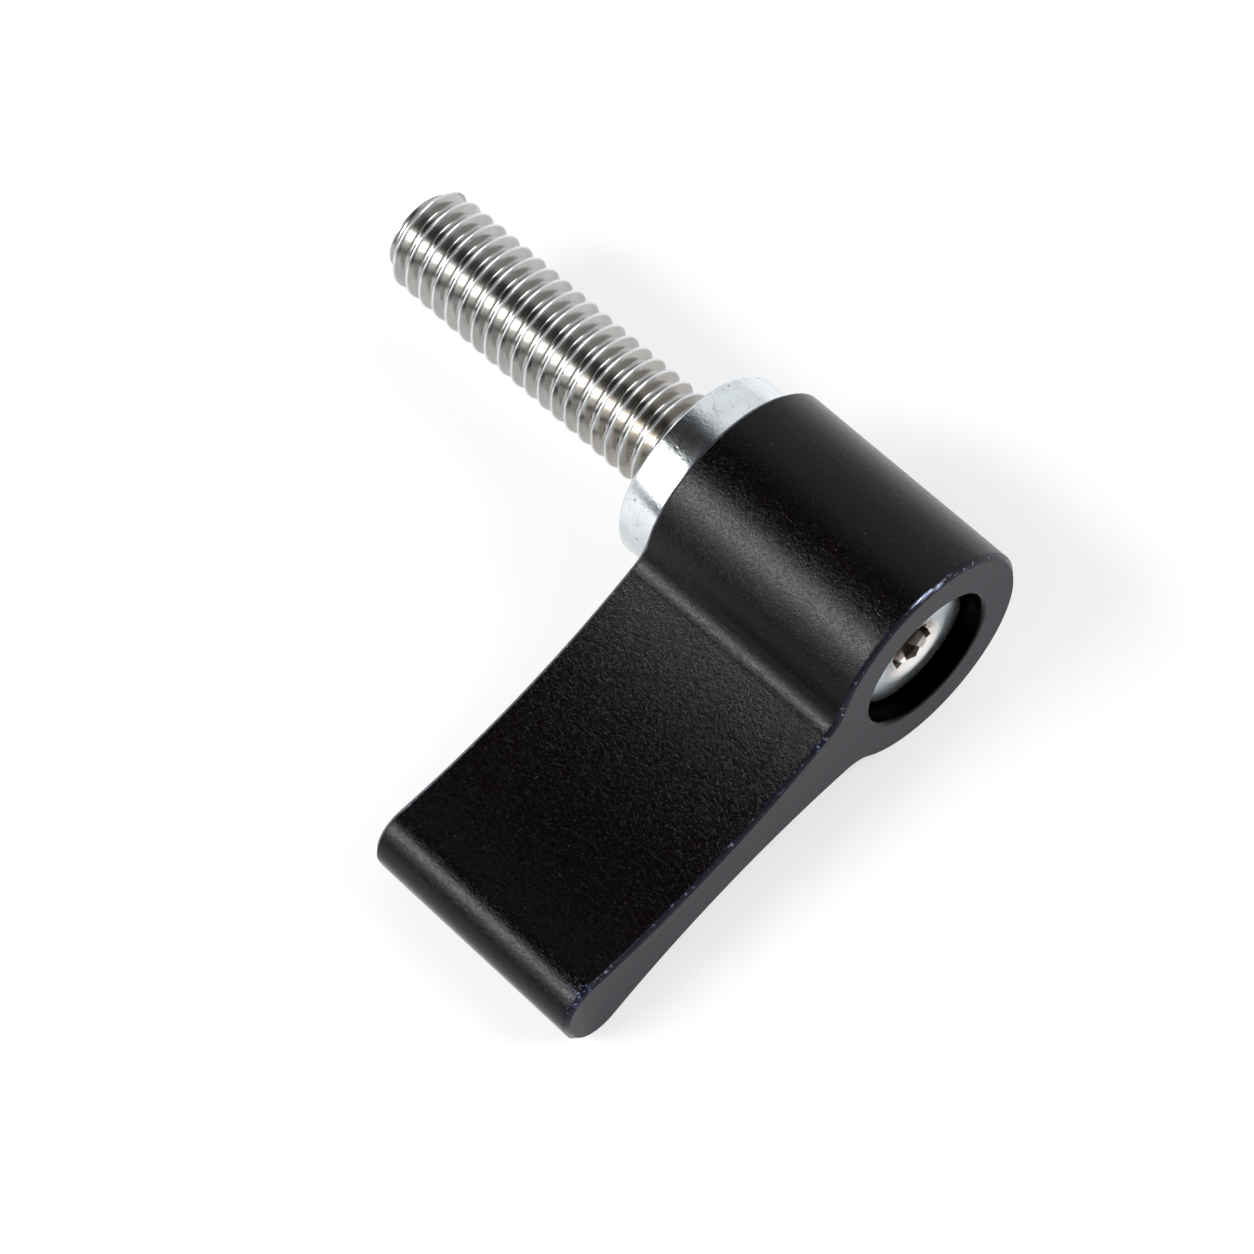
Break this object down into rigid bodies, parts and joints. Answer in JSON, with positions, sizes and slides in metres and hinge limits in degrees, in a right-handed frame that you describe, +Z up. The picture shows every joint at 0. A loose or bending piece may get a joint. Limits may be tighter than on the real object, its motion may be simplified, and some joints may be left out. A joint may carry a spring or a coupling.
{
  "type": "thumb screw",
  "caption": "Clamping thumb screw: a lifting, re-indexable lever with a waisted arm on a toothed insert, over a collar and a threaded stud.",
  "frame": {"origin": "centre of the collar's free face, on the screw's axis", "axes": "-X along the screw's axis to the tip of the stud, +X to the lever's outer face, +Z up as the screw lies on a table; the arm reaches towards -Y and leans down to the table"},
  "size_m": [0.0371, 0.0323, 0.013],
  "materials": {
    "black_anodised": "bead-blasted and black anodised",
    "zinc_plate": "zinc plated, slightly mottled",
    "stainless": "bright rolled thread",
    "zinc_plate_fine": "zinc plated, satin",
    "spring_steel": "drawn wire"
  },
  "bodies": {
    "screw": {"insert": "zinc_plate", "stud": "stainless", "retaining_screw": "zinc_plate_fine"},
    "spring_ring": {"spring": "spring_steel"},
    "handle": {"lever": "black_anodised"}
  },
  "joints": [
    {"name": "lever_turn", "type": "hinge", "parent": "screw", "child": "spring_ring", "pos_m": [0, 0, 0], "axis": [1, 0, 0], "continuous": true},
    {"name": "lever_lift", "type": "slide", "parent": "spring_ring", "child": "handle", "axis": [1, 0, 0], "range_m": [0, 0.0035], "stiffness_N_per_m": 330, "springref_m": -0.0015, "deforming": ["spring"]}
  ]
}
